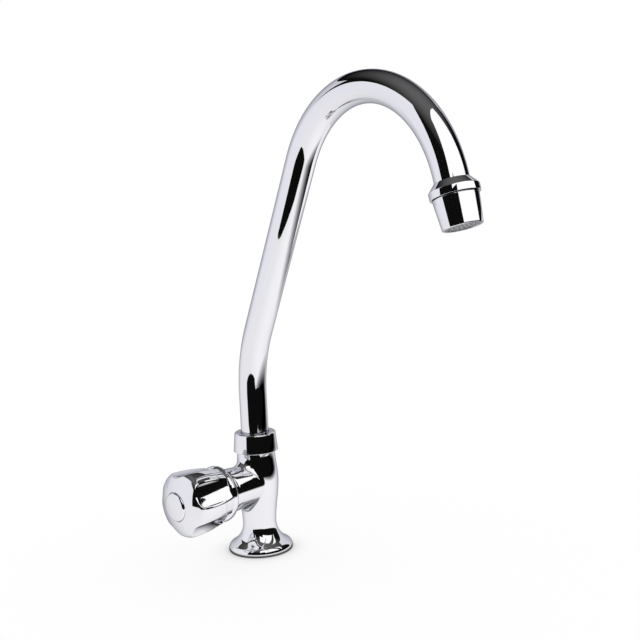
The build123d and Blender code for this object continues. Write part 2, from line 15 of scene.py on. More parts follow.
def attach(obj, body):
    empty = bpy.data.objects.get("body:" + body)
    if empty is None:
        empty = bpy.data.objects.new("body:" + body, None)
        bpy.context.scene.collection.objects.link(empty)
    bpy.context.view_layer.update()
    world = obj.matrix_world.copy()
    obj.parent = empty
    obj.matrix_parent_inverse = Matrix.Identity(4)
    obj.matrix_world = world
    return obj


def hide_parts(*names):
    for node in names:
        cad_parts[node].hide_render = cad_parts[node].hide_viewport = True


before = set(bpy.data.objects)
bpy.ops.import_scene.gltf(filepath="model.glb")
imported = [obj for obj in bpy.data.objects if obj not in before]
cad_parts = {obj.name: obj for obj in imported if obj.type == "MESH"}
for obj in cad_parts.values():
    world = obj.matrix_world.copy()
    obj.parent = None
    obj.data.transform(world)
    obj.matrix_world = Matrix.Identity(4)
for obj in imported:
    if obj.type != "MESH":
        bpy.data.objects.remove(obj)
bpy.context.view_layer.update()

bl_info = {
    "name": "Kitchen tap",
    "version": (1, 0, 0),
    "blender": (4, 5, 0),
    "location": "3D View > Sidebar > Tap",
    "description": "Builds a chrome kitchen tap round its CAD frame, with its stage",
    "category": "Object",
}


def length(name, description, default):
    """A size in metres that the panel shows in the scene's unit."""
    return FloatProperty(
        name=name, description=description, default=default, unit="LENGTH", precision=5, min=0.0
    )


def angle(name, description, default):
    """An angle that the panel shows in degrees."""
    return FloatProperty(
        name=name, description=description, default=radians(default), subtype="ANGLE"
    )


def srgb(hex_code):
    """Linear RGBA of an sRGB hex value."""
    channels = [int(hex_code[i : i + 2], 16) / 255 for i in (1, 3, 5)]
    return [c / 12.92 if c <= 0.04045 else ((c + 0.055) / 1.055) ** 2.4 for c in channels] + [1.0]


def colour(name, description, hex_code):
    """A colour property with an sRGB default."""
    return FloatVectorProperty(
        name=name, description=description, default=srgb(hex_code)[:3], subtype="COLOR",
        min=0.0, max=1.0,
    )


class TapColumnSizes(bpy.types.PropertyGroup):
    foot_radius: length("Foot radius", "Radius of the round foot", 0.02225)
    foot_edge: length("Foot edge", "Height of the foot's upright edge", 0.0047)
    foot_round: length("Foot rounding", "Rounding of the foot's upper edge", 0.005)
    waist_radius: length("Waist radius", "Radius above the foot's flare", 0.01165)
    waist_height: length("Waist height", "Height of the waist", 0.019)
    bulge_radius: length("Bulge radius", "Radius where the barrel joins", 0.0146)
    bulge_height: length("Bulge height", "Height of the bulge", 0.050)
    neck_radius: length("Neck radius", "Radius under the collar nut", 0.01315)
    neck_height: length("Neck height", "Height of the shoulder under the collar nut", 0.0701)
    spigot_radius: length("Spigot radius", "Radius of the spigot inside the collar nut", 0.01195)
    spigot_top: length("Spigot top", "Height of the spigot's end", 0.0785)
    socket_radius: length("Socket radius", "Radius of the spout's socket", 0.00955)
    socket_floor: length("Socket floor", "Height of the socket's floor", 0.0625)
    valve_height: length("Valve height", "Height of the valve's axis", 0.0475)
    barrel_root: length("Barrel root radius", "Radius of the barrel's cone at the axis", 0.0132)
    barrel_radius: length("Barrel end radius", "Radius of the barrel at its end", 0.0152)
    barrel_end: length("Barrel end", "Station of the barrel's end", 0.031)
    barrel_blend: length("Barrel blend", "Rounding between barrel and column", 0.007)
    barrel_bore: length("Barrel bore", "Radius of the hole in the barrel", 0.0103)
    chamber_end: length("Chamber end", "Station where the barrel's wider bore ends", 0.02045)
    chamber_radius: length("Chamber radius", "Radius of the valve's chamber", 0.0092)
    seat: length("Seat", "Station of the valve's seat", 0.0095)
    seat_radius: length("Seat radius", "Outer radius of the raised seat", 0.0064)
    seat_hole: length("Seat hole", "Radius of the hole in the seat", 0.0046)
    seal_inner: length("Seal inner radius", "Inner radius of the groove in the sole", 0.0135)
    seal_outer: length("Seal outer radius", "Outer radius of the groove in the sole", 0.0185)
    seal_depth: length("Seal groove depth", "Depth of the groove in the sole", 0.002)


class TapShankSizes(bpy.types.PropertyGroup):
    radius: length("Thread radius", "Outside radius of the half-inch pipe thread", 0.0104775)
    length: length("Shank length", "Length of the shank under the sole", 0.055)
    bore: length("Waterway radius", "Radius of the hole through the shank", 0.006)
    pitch: length("Thread pitch", "14 threads to the inch", 0.0254 / 14)
    relief_low: length("Relief low end", "Depth of the relief groove's low end", 0.037)
    relief_high: length("Relief high end", "Depth of the relief groove's high end", 0.0355)
    nut_flats: length("Nut across flats", "Width of the backnut's hexagon", 0.027)
    nut_flange: length("Nut flange radius", "Radius of the backnut's flange", 0.017)
    nut_top: length("Nut depth", "Depth of the face that bears on the washer", 0.0245)
    nut_flange_height: length("Nut flange height", "Height of the flange", 0.0025)
    nut_height: length("Nut height", "Height of the nut with its flange", 0.0105)
    nut_hole: length("Nut hole radius", "Radius of the hole past the thread", 0.0105275)


class TapCollarSizes(bpy.types.PropertyGroup):
    low_radius: length("Lower radius", "Radius of the collar nut's lower edge", 0.01535)
    top_radius: length("Upper radius", "Radius of the collar nut's upper edge", 0.0142)
    bottom: length("Bottom", "Height of the lower edge", 0.0702)
    top: length("Top", "Height of the upper edge", 0.0834)
    hole: length("Hole radius", "Radius of the hole for the tube", 0.00985)


class TapSpoutSizes(bpy.types.PropertyGroup):
    azimuth: angle("Direction", "Where the spout points, from +X", -99.5)
    radius: length("Tube radius", "Outside radius of the tube", 0.0095)
    wall: length("Tube wall", "Thickness of the tube's wall", 0.001)
    start: length("Start", "Height of the tube's lower end", 0.0807)
    riser: length("Riser", "Straight length above the collar", 0.02926)
    lean_radius: length("Lean radius", "Bending radius of the lower bend", 0.0942)
    lean_angle: angle("Lean angle", "Angle of the lower bend", 27.97)
    leg: length("Leg", "Straight length between the bends", 0.1266)
    crook_radius: length("Crook radius", "Bending radius of the crook", 0.0721)
    crook_angle: angle("Crook angle", "Angle of the crook", 135.3)
    nose: length("Nose", "Bare straight length before the outlet", 0.0035)
    socket: length("Outlet socket", "Length of tube inside the outlet collar", 0.006)


class TapOutletSizes(bpy.types.PropertyGroup):
    cone_end: length("Cone end", "Station where the cone meets the band", 0.00428)
    band_end: length("Band end", "Station of the band's lower edge", 0.0082)
    band_radius: length("Band radius", "Radius of the collar's band", 0.01367)
    thread_end: length("Thread end", "Station of the thread's end", 0.0164)
    aerator_start: length("Aerator start", "Station of the aerator's upper edge", 0.00855)
    aerator_end: length("Aerator end", "Station of the aerator's mouth", 0.02485)
    aerator_top: length("Aerator upper radius", "Radius at the upper edge", 0.01255)
    aerator_mouth: length("Aerator mouth radius", "Radius at the mouth", 0.01097)


class TapKnobSizes(bpy.types.PropertyGroup):
    back: length("Back", "Station of the knob's back", 0.0326)
    front: length("Front", "Station of the middle of the front", 0.0735)
    seam: length("Seam", "Station of the seam between shell and ring", 0.046)
    radius: length("Radius", "Largest radius", 0.0222)
    widest: length("Widest", "Station from which the knob is widest", 0.062)
    flank_radius: length("Flank radius", "Arc of the flank", 0.091)
    dome_radius: length("Dome radius", "Arc of the front", 0.038)
    edge_round: length("Edge rounding", "Rounding of the front edge", 0.0055)
    bead_radius: length("Bead radius", "Largest radius of the rounded rear bead", 0.01915)
    bead_round: length("Bead rounding", "Radius of the bead's section", 0.0034)
    groove_radius: length("Groove radius", "Radius of the groove before the bead", 0.0172)
    fluted_start: length("Fluted start", "Station where the fluted part starts", 0.039475)
    fluted_radius: length("Fluted start radius", "Radius of the fluted part there", 0.0196)
    flutes: IntProperty(name="Flutes", description="Number of flutes", default=5, min=3)
    flute_phase: angle("First flute", "Angle of the first flute from the top", -65.0)
    flute_floor: length("Flute floor", "A flute's floor from the dome's centre", 0.01712)
    flute_radius: length("Flute radius", "Arc of a flute's section", 0.018)
    flute_taper: angle("Flute taper", "Lean of a flute's floor", 3.0)
    flute_end: length("Flute end", "Rounding of a flute's floor at the front", 0.0022)
    flute_run_out: length("Flute run-out", "How far that rounding stands out of the dome", 0.00006)
    ridge_round: length("Ridge rounding", "Softening of the edges of the flutes", 0.0007)
    button_radius: length("Button radius", "Radius of the index button", 0.0096)
    button_back: length("Button back", "Station of the button's back", 0.069867)
    button_proud: length("Button proud", "How far the button stands out", 0.001)
    button_edge: length("Button edge", "Rounding of the button's edge", 0.0018)


class TapFinish(bpy.types.PropertyGroup):
    chrome: colour("Chrome", "Chromium plate on polished brass", "#F4F4F7")
    brass: colour("Brass", "Turned brass inside the valve", "#CBA45C")
    steel: colour("Steel", "Stainless washers and screws", "#C2C2C0")
    rubber: colour("Rubber", "Nitrile rubber seals", "#1C1C1D")
    acetal: colour("Acetal", "Moulded slip rings", "#E9E8E2")
    # The flow insert's grey is its acetal darkened by painted shade, for its place deep in the
    # mouth.
    insert: colour("Flow insert", "Grey acetal of the aerator's flow insert", "#7D7E80")
    fibre: colour("Fibre", "Vulcanised fibre washer", "#7A2C1D")


class TapStage(bpy.types.PropertyGroup):
    target: FloatVectorProperty(
        name="Target", description="Point that the camera looks at", subtype="TRANSLATION",
        default=(0.02295, -0.04544, 0.1608), precision=5,
    )
    azimuth: angle("Azimuth", "Camera's direction round the tap, from -Y", -45.5)
    elevation: angle("Elevation", "Camera's height angle", 7.41358)
    roll: angle("Roll", "Camera's tilt about its own axis", -2.60957)
    distance: length("Distance", "Camera's distance from its target", 0.7081)
    lens: FloatProperty(name="Lens", description="Focal length in mm", default=59.637)
    floor: length("Floor size", "Width of the floor", 6.0)


# Modelling

UPRIGHT = Matrix()  # placement of a piece turned about the column's axis
ROUND_STEPS = 128  # sides of the round pieces that show
INNER_STEPS = 96  # sides of the tube, the button and the pieces under the worktop
MERGE = 1e-6  # points closer than this are one


def pick(piece):
    """Selects one object alone and makes it the active one."""
    bpy.ops.object.select_all(action="DESELECT")
    piece.select_set(True)
    bpy.context.view_layer.objects.active = piece


def add_ring(count, radius=0.01, height=0.0):
    """A bare ring of vertices in a new object, in edit mode, with nothing else selected."""
    bpy.ops.object.select_all(action="DESELECT")
    bpy.ops.mesh.primitive_circle_add(
        vertices=count, radius=radius, fill_type="NOTHING", location=(0, 0, height)
    )
    bpy.ops.object.transform_apply(location=True, rotation=True, scale=True)
    bpy.ops.object.mode_set(mode="EDIT")
    return bpy.context.object


def finish_piece(piece, name, body, *nodes, look="chromium_plate", slot="chrome", smooth=35.0):
    """Names a piece, shades it and ties it to the CAD frame."""
    piece.name = piece.data.name = name
    pick(piece)
    bpy.ops.object.shade_smooth_by_angle(angle=radians(smooth))
    piece.data.materials.clear()
    piece.data.materials.append(finish(look))
    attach(piece, body)
    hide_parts(*nodes)


def close_up():
    """Joins doubled points, turns the normals outwards and leaves edit mode."""
    bpy.ops.mesh.select_all(action="SELECT")
    bpy.ops.mesh.remove_doubles(threshold=MERGE)
    bpy.ops.mesh.normals_make_consistent(inside=False)
    bpy.ops.object.mode_set(mode="OBJECT")


def turned(outline, place=UPRIGHT, steps=ROUND_STEPS):
    """Spins a closed outline of (station, radius) points round the local Z of a placement.

    Runs of the outline that lie on the axis close up into poles.
    """
    piece = add_ring(len(outline))
    mesh = bmesh.from_edit_mesh(piece.data)
    mesh.verts.index_update()
    for vertex, (station, radius) in zip(mesh.verts, outline):
        vertex.co = place @ Vector((radius, 0, station))
    on_axis = [
        edge for edge in mesh.edges
        if all(outline[vertex.index][1] < MERGE / 10 for vertex in edge.verts)
    ]
    bmesh.ops.delete(mesh, geom=on_axis, context="EDGES")
    bmesh.update_edit_mesh(piece.data)
    bpy.ops.mesh.select_all(action="SELECT")
    bpy.ops.mesh.spin(
        steps=steps, angle=2 * pi, center=place.translation, axis=place.col[2].xyz
    )
    close_up()
    return piece


def cut(piece, tool, operation):
    """Applies a boolean to a piece and removes the tool."""
    pick(piece)
    step = piece.modifiers.new("cut", "BOOLEAN")
    step.operation = operation
    step.object = tool
    step.solver = "EXACT"
    bpy.ops.object.modifier_apply(modifier=step.name)
    bpy.data.objects.remove(tool)


def between(low, high, count):
    """The ends of a span and the values that divide it into equal steps."""
    return [low + (high - low) * i / count for i in range(count + 1)]


def arc(centre, radius, start, end, count):
    """Points of an arc in an outline, angles in degrees from the station's direction."""
    return [
        (centre[0] + radius * cos(radians(turn)), centre[1] + radius * sin(radians(turn)))
        for turn in between(start, end, count)
    ]


def swept(centre, first, sweep, count):
    """Points of an arc that starts at an offset from its centre and turns by an angle."""
    return [
        tuple(centre + Matrix.Rotation(-turn, 2) @ first) for turn in between(0.0, sweep, count)
    ]


def rounded(outline, rounds, count=6):
    """The same outline with its corners rounded by the radii that rounds gives by index."""
    points = []
    for i, corner in enumerate(outline):
        if i not in rounds:
            points.append(corner)
            continue
        here = Vector(corner)
        back = (Vector(outline[i - 1]) - here).normalized()
        ahead = (Vector(outline[(i + 1) % len(outline)]) - here).normalized()
        half = back.angle(ahead) / 2
        reach = rounds[i] / tan(half)
        centre = here + (back + ahead).normalized() * rounds[i] / sin(half)
        first = here + back * reach - centre
        last = here + ahead * reach - centre
        points += swept(centre, first, first.angle_signed(last), count)
    return points


# Column

MACHINED_EDGE = 0.0008  # chamfer or rounding of the casting's machined edges
BORE_EDGE = 0.0003
SHOULDER_EDGE = 0.0002
SEAT_HEIGHT = 0.001
INLET_END = 0.001  # the seat's hole ends just short of the column's axis
HOLE_LOW = 0.0262  # between these heights the wall opens into the barrel
HOLE_HIGH = 0.0692
HOLE_ROWS = 48
NUDGE = 1e-5  # step for the slope of the column's wall


def flare_radius(c):
    """Radius of the arc that runs from the foot's edge up to the waist."""
    across = c.foot_radius - c.waist_radius
    return (across**2 + (c.waist_height - c.foot_edge) ** 2) / (2 * across)


def column_radius(c, height):
    """Radius of the column's outside at a height over the foot's edge."""
    if height <= c.waist_height:
        flare = flare_radius(c)
        return c.waist_radius + flare - sqrt(flare**2 - (c.waist_height - height) ** 2)
    low, high = (c.waist_height, c.waist_radius), (c.bulge_height, c.bulge_radius)
    if height > c.bulge_height:
        low, high = high, (c.neck_height, c.neck_radius)
    share = (height - low[0]) / (high[0] - low[0])
    return low[1] + (high[1] - low[1]) * share * share * (3 - 2 * share)


def foot_rounding(c):
    """Outline of the rounding between the foot's edge and its flare, from the edge up."""
    flare = flare_radius(c)
    middle = c.foot_radius - c.foot_round
    # The rounding's centre is this far from the centre of the flare's arc.
    across = c.waist_radius + flare - middle
    rise = sqrt((flare + c.foot_round) ** 2 - across**2)
    last = 90 - degrees(atan2(rise, across))
    return arc((c.waist_height - rise, middle), c.foot_round, 90, last, 10)


def column_outline(c):
    """Closed outline of the column with its socket and the groove in its sole."""
    rounding = foot_rounding(c)
    neck = c.neck_height - HOLE_HIGH
    heights = [
        HOLE_HIGH + 0.6 * neck, HOLE_HIGH + 0.3 * neck,
        *between(HOLE_HIGH, HOLE_LOW, HOLE_ROWS),
        *between(HOLE_LOW, rounding[-1][0], 32)[1:-1],
    ]
    return [
        (c.socket_floor, 0.0), (c.socket_floor, c.socket_radius),
        (c.spigot_top - MACHINED_EDGE, c.socket_radius),
        (c.spigot_top, c.socket_radius + MACHINED_EDGE), (c.spigot_top, c.spigot_radius),
        (c.neck_height, c.spigot_radius), (c.neck_height, c.neck_radius - SHOULDER_EDGE),
        (c.neck_height - SHOULDER_EDGE, c.neck_radius),
        *((height, column_radius(c, height)) for height in heights), *reversed(rounding),
        *arc((MACHINED_EDGE, c.foot_radius - MACHINED_EDGE), MACHINED_EDGE, 90, 180, 4),
        (0.0, c.seal_outer), (c.seal_depth, c.seal_outer), (c.seal_depth, c.seal_inner),
        (0.0, c.seal_inner), (0.0, 0.0),
    ]


def barrel_path(c, angle_round, start_radius):
    """Points (station, radius) from the column's wall over the blend to the seat's hole.

    They lie in the half-plane at one angle round the valve's axis, 0 being upwards.
    """
    slope = (c.barrel_radius - c.barrel_root) / c.barrel_end
    lean = sqrt(1 + slope * slope)
    blend = c.barrel_blend

    def column_wall(radius):
        column = column_radius(c, c.valve_height + radius * cos(angle_round))
        return sqrt(max(0.0, column**2 - (radius * sin(angle_round)) ** 2))

    def blend_centre(radius):
        rise = (column_wall(radius + NUDGE) - column_wall(radius - NUDGE)) / (2 * NUDGE)
        norm = sqrt(1 + rise * rise)
        return Vector((column_wall(radius) + blend / norm, radius - blend * rise / norm))

    # Halving finds the place on the wall from which the blend just touches the barrel.
    low, high = c.barrel_root * 0.8, c.barrel_root + 2.5 * blend
    for _ in range(50):
        middle = (low + high) / 2
        station, radius = blend_centre(middle)
        past_side = column_wall(middle + 2 * NUDGE) == 0
        if past_side or radius > c.barrel_root + slope * station + blend * lean:
            high = middle
        else:
            low = middle
    centre = blend_centre(low)
    first = Vector((column_wall(low), low)) - centre
    last = Vector((slope, -1)) / lean * blend
    points = [(column_wall(r), r) for r in between(start_radius, low, 14)[1:-1]]
    points += swept(centre, first, first.angle_signed(last), 12)
    end = c.barrel_end - MACHINED_EDGE
    points += [
        (station, c.barrel_root + slope * station)
        for station in between(centre[0] + last[0], end, 9)[1:]
    ]
    return [
        *points, *arc((end, points[-1][1] - MACHINED_EDGE), MACHINED_EDGE, 90, 0, 5)[1:],
        (c.barrel_end, c.barrel_bore + BORE_EDGE), (c.barrel_end - BORE_EDGE, c.barrel_bore),
        (c.chamber_end, c.barrel_bore), (c.chamber_end, c.chamber_radius),
        (c.seat - SEAT_HEIGHT, c.chamber_radius), (c.seat - SEAT_HEIGHT, c.seat_radius),
        (c.seat, c.seat_radius), (c.seat, c.seat_hole), (INLET_END, c.seat_hole),
    ]


class TAP_OT_column(bpy.types.Operator):
    """Column, foot and barrel: one brass casting, polished and plated"""

    bl_idname = "tap.column"
    bl_label = "Column"

    def execute(self, context):
        c = context.scene.tap_column
        piece = turned(column_outline(c))
        bpy.ops.object.mode_set(mode="EDIT")
        mesh = bmesh.from_edit_mesh(piece.data)
        socket_wall = c.socket_radius + 0.001
        opening = []
        for face in mesh.faces:
            x, y, z = face.calc_center_median()
            if x < 0 and HOLE_LOW < z < HOLE_HIGH and hypot(x, y) > socket_wall:
                opening.append(face)
        bmesh.ops.delete(mesh, geom=opening, context="FACES")
        rim = [
            edge for edge in mesh.edges
            if edge.is_boundary and HOLE_LOW - NUDGE < edge.verts[0].co.z < HOLE_HIGH + NUDGE
        ]
        loop = [rim[0].verts[0]]
        step, edge = rim[0].verts[1], rim[0]
        while step is not loop[0]:
            loop.append(step)
            edge = next(e for e in step.link_edges if e.is_boundary and e is not edge)
            step = edge.other_vert(step)
        paths = []
        for vertex in loop:
            up = vertex.co.z - c.valve_height
            turn = atan2(vertex.co.y, up)
            paths.append([vertex] + [
                mesh.verts.new((-s, r * sin(turn), c.valve_height + r * cos(turn)))
                for s, r in barrel_path(c, turn, hypot(vertex.co.y, up))
            ])
        pole = mesh.verts.new((-INLET_END, 0, c.valve_height))
        for here, there in zip(paths, paths[1:] + paths[:1]):
            for corners in zip(here, here[1:], there[1:], there):
                mesh.faces.new(corners)
            mesh.faces.new((here[-1], pole, there[-1]))
        bmesh.ops.recalc_face_normals(mesh, faces=mesh.faces)
        bmesh.update_edit_mesh(piece.data)
        bpy.ops.object.mode_set(mode="OBJECT")
        finish_piece(piece, "cast_column", "tap_body", "body_casting")
        return {"FINISHED"}


# Shank and backnut

THREAD_DEPTH = 0.64  # of the pitch, as a pipe thread has
THREAD_FLAT = 0.09  # of the pitch, flat on the crest and at the root
THREAD_START = 0.0012  # depth under the sole
RELIEF_DEPTH = 0.0013
COLLAR_THREAD = 0.01205  # inside radius of the collar nut
COLLAR_LIP = 0.002  # thickness of the nut's top, which holds the spout's flange down


class TAP_OT_shank(bpy.types.Operator):
    """Threaded shank under the sole, with the waterway through it"""

    bl_idname = "tap.shank"
    bl_label = "Shank"

    def execute(self, context):
        s = context.scene.tap_shank
        root = s.radius - THREAD_DEPTH * s.pitch
        relief = s.radius - RELIEF_DEPTH
        core = turned(rounded([
            (0.0, s.bore), (-s.length, s.bore), (-s.length, root), (-s.relief_low, root),
            (-s.relief_low, relief), (-s.relief_high, relief), (-s.relief_high, root),
            (0.0, root),
        ], {1: 0.0005, 2: 0.0004}), steps=INNER_STEPS)
        threads = [
            thread_ridge(s.radius, root, s.pitch, -s.length + MACHINED_EDGE, -s.relief_low),
            thread_ridge(s.radius, root, s.pitch, -s.relief_high, -THREAD_START),
        ]
        pick(core)
        for ridge in threads:
            ridge.select_set(True)
        bpy.ops.object.join()
        finish_piece(core, "shank", "tap_body", "body_casting", smooth=40.0)
        return {"FINISHED"}


def thread_ridge(crest, root, pitch, low, high):
    """One V-shaped helical ridge between two heights, with its ends run down to the core."""
    piece = add_ring(4)
    mesh = bmesh.from_edit_mesh(piece.data)
    flat = pitch * THREAD_FLAT
    sunk = root - 0.0002
    section = [
        (sunk, -pitch / 2 + flat), (crest, -flat), (crest, flat), (sunk, pitch / 2 - flat),
    ]
    for vertex, (radius, height) in zip(mesh.verts, section):
        vertex.co = (radius, 0, low + pitch / 2 + height)
    bmesh.update_edit_mesh(piece.data)
    bpy.ops.object.mode_set(mode="OBJECT")
    screw = piece.modifiers.new("thread", "SCREW")
    screw.axis = "Z"
    screw.screw_offset = pitch
    screw.iterations = int((high - low) / pitch - 1.0)
    screw.steps = screw.render_steps = 48
    bpy.ops.object.modifier_apply(modifier=screw.name)
    bpy.ops.object.mode_set(mode="EDIT")
    bpy.ops.mesh.select_all(action="DESELECT")
    bpy.ops.mesh.select_non_manifold(
        use_wire=False, use_multi_face=False, use_non_contiguous=False, use_verts=False
    )
    bpy.ops.mesh.edge_face_add()
    bpy.ops.mesh.select_all(action="SELECT")
    bpy.ops.mesh.normals_make_consistent(inside=False)
    bpy.ops.object.mode_set(mode="OBJECT")
    for vertex in piece.data.vertices:
        radius = hypot(vertex.co.x, vertex.co.y)
        # The ridge rises over 1.2 turns, and its very end sinks into the core.
        share = min(vertex.co.z - low, high - vertex.co.z) / (1.2 * pitch)
        faded = min(radius, root + (crest - root) * max(-0.1, min(1.0, share)))
        vertex.co.x *= faded / radius
        vertex.co.y *= faded / radius
    return piece


class TAP_OT_backnut(bpy.types.Operator):
    """Backnut under the worktop: a chamfered hexagon with a round flange"""

    bl_idname = "tap.backnut"
    bl_label = "Backnut"

    def execute(self, context):
        s = context.scene.tap_shank
        corner = s.nut_flats / sqrt(3)
        bpy.ops.object.select_all(action="DESELECT")
        bpy.ops.mesh.primitive_cylinder_add(
            vertices=6, radius=corner, depth=s.nut_height - s.nut_flange_height,
            location=(0, 0, -s.nut_top - (s.nut_height + s.nut_flange_height) / 2),
            end_fill_type="NGON",
        )
        nut = context.object
        bpy.ops.object.transform_apply(location=True, rotation=True, scale=True)
        bpy.ops.object.mode_set(mode="EDIT")
        bpy.ops.mesh.select_all(action="SELECT")
        bpy.ops.mesh.bevel(offset=0.00025, segments=3, affect="EDGES")
        bpy.ops.object.mode_set(mode="OBJECT")
        top, bottom = -s.nut_top, -s.nut_top - s.nut_height
        past = 0.001  # how far the tools reach past the nut
        # A cone turned on the lower end takes the corners off, as a lathe tool does.
        flat = s.nut_flats / 2 - 0.0002
        wide = corner + 0.002
        cone = turned([
            (bottom - past, 0.0), (bottom - past, flat), (bottom, flat),
            (bottom + (wide - flat) * tan(radians(30)), wide), (top + past, wide),
            (top + past, 0.0),
        ], steps=INNER_STEPS)
        cut(nut, cone, "INTERSECT")
        under = top - s.nut_flange_height
        flange = turned(rounded([
            (top, 0.0), (top, s.nut_flange), (under, s.nut_flange),
            (under - 0.0006, s.nut_flange - 0.0022), (under - 0.0006, 0.0),
        ], {1: 0.0002, 2: 0.0006, 3: 0.0004}), steps=INNER_STEPS)
        cut(nut, flange, "UNION")
        mouth = s.nut_hole + MACHINED_EDGE + past
        hole = turned([
            (bottom - past, 0.0), (bottom - past, mouth), (bottom + MACHINED_EDGE, s.nut_hole),
            (top - MACHINED_EDGE, s.nut_hole), (top + past, mouth), (top + past, 0.0),
        ], steps=INNER_STEPS)
        cut(nut, hole, "DIFFERENCE")
        finish_piece(
            nut, "backnut_hexagon", "tap_body", "backnut", look="turned_brass_upright",
            slot="brass", smooth=30.0,
        )
        return {"FINISHED"}


class TAP_OT_collar_nut(bpy.types.Operator):
    """Tapered ring nut that holds the spout down"""

    bl_idname = "tap.collar_nut"
    bl_label = "Collar nut"

    def execute(self, context):
        n = context.scene.tap_collar
        lip = n.top - COLLAR_LIP
        piece = turned(rounded([
            (n.bottom, COLLAR_THREAD), (n.bottom, n.low_radius), (n.top, n.top_radius),
            (n.top, n.hole), (lip, n.hole), (lip, COLLAR_THREAD),
        ], {1: 0.00035, 2: 0.0012, 3: 0.0003}, 8))
        finish_piece(piece, "collar_ring_nut", "tap_body", "collar_nut")
        return {"FINISHED"}


# Spout

TUBE_SOCKET = 0.00955  # radius of the socket in the outlet collar
OUTLET_THREAD = 0.0108
OUTLET_BORE = 0.0082
SLEEVE_THREAD = 0.0109
SLEEVE_BORE = 0.0102
MOUTH_LIP = 0.0092


def spout_axes(p):
    """Horizontal direction of the spout and the normal of its plane."""
    out = Vector((cos(p.azimuth), sin(p.azimuth), 0))
    return out, out.cross(Vector((0, 0, 1)))


def spout_stations(p):
    """Centres of the two bends, directions of leg and nose, and the start of the nose."""
    out, _normal = spout_axes(p)
    up = Vector((0, 0, 1))
    lean_centre = up * (p.start + p.riser) + out * p.lean_radius
    leg = up * cos(p.lean_angle) + out * sin(p.lean_angle)
    across = out * cos(p.lean_angle) - up * sin(p.lean_angle)
    crook_centre = lean_centre + across * (p.crook_radius - p.lean_radius) + leg * p.leg
    total = p.lean_angle + p.crook_angle
    nose = up * cos(total) + out * sin(total)
    across = out * cos(total) - up * sin(total)
    return lean_centre, leg, crook_centre, nose, crook_centre - across * p.crook_radius


class TAP_OT_spout(bpy.types.Operator):
    """Bent spout tube: its ring is extruded along the runs and spun round the bends"""

    bl_idname = "tap.spout"
    bl_label = "Spout tube"

    def execute(self, context):
        p = context.scene.tap_spout
        _out, normal = spout_axes(p)
        lean_centre, leg, crook_centre, nose, _nose_start = spout_stations(p)
        piece = add_ring(INNER_STEPS, p.radius, p.start)
        bpy.ops.mesh.select_all(action="SELECT")
        self.run(Vector((0, 0, 1)), p.riser, 6)
        bpy.ops.mesh.spin(steps=28, angle=p.lean_angle, center=lean_centre, axis=normal)
        self.run(leg, p.leg, 16)
        bpy.ops.mesh.spin(steps=96, angle=p.crook_angle, center=crook_centre, axis=normal)
        self.run(nose, p.nose + p.socket, 3)
        close_up()
        wall = piece.modifiers.new("wall", "SOLIDIFY")
        wall.thickness = p.wall
        wall.offset = -1
        bpy.ops.object.modifier_apply(modifier=wall.name)
        finish_piece(piece, "bent_tube", "spout", "spout_tube")
        return {"FINISHED"}

    @staticmethod
    def run(direction, distance, steps):
        """Extrudes the selected ring along a straight run."""
        for _ in range(steps):
            bpy.ops.mesh.extrude_region_move(
                TRANSFORM_OT_translate={"value": direction * distance / steps}
            )


class TAP_OT_outlet(bpy.types.Operator):
    """Flared collar at the end of the tube and the tapered aerator screwed on it"""

    bl_idname = "tap.outlet"
    bl_label = "Outlet and aerator"

    def execute(self, context):
        o, p = context.scene.tap_outlet, context.scene.tap_spout
        *_bends, nose, nose_start = spout_stations(p)
        _out, normal = spout_axes(p)
        axes = Matrix((normal.cross(nose), normal, nose)).transposed().to_4x4()
        place = Matrix.Translation(nose_start + nose * p.nose) @ axes
        shoulder = p.socket + NUDGE * 5
        collar = turned(rounded([
            (0.0, TUBE_SOCKET), (0.0, 0.010), (o.cone_end, o.band_radius),
            (o.band_end, o.band_radius), (o.band_end, OUTLET_THREAD),
            (o.thread_end, OUTLET_THREAD), (o.thread_end, OUTLET_BORE),
            (shoulder, OUTLET_BORE), (shoulder, TUBE_SOCKET),
        ], {2: 0.0005, 3: 0.0003}), place)
        finish_piece(collar, "outlet_flare", "spout", "outlet_collar")
        lip = o.aerator_end - 0.0011
        sleeve = turned(rounded([
            (o.aerator_start, SLEEVE_THREAD), (o.aerator_start, o.aerator_top),
            (o.aerator_end, o.aerator_mouth), (o.aerator_end, MOUTH_LIP), (lip, MOUTH_LIP),
            (lip, SLEEVE_BORE), (o.thread_end, SLEEVE_BORE), (o.thread_end, SLEEVE_THREAD),
        ], {1: 0.0003, 2: 0.0006, 3: 0.0002}), place)
        finish_piece(sleeve, "aerator_sleeve", "spout", "aerator_housing")
        return {"FINISHED"}


# Knob

KNOB_STEPS = 5 * 84  # sides of the fluted skin, the same in each flute
SEAM_CHAMFER = 0.00025
SHELL_BORE = 0.0164  # the shell's cavity, and the ring's spigot and skirt inside it
RING_SPIGOT = 0.016306
RING_SKIRT = 0.014406
SPIGOT_LENGTH = 0.0048
CROWN = 0.009  # from the front to the cavity's floor
HUB, HUB_START = 0.007, 0.04855
SCREW_RECESS, SCREW_HOLE, DRIVE_HOLE = 0.0052, 0.00205, 0.00455
SCREW_GRIP = 0.003
BUTTON_GAP = 0.0001
RECESS_ROUND = 0.0003


def valve_axis(height):
    """Placement of a piece turned about the valve's axis, its stations along -X."""
    axes = Matrix(((0, 0, -1), (0, 1, 0), (1, 0, 0))).to_4x4()
    return Matrix.Translation((0, 0, height)) @ axes


def flank_drop(k):
    """How much smaller the knob's radius is at the seam than where it is widest."""
    return (k.widest - k.seam) ** 2 / (2 * k.flank_radius)


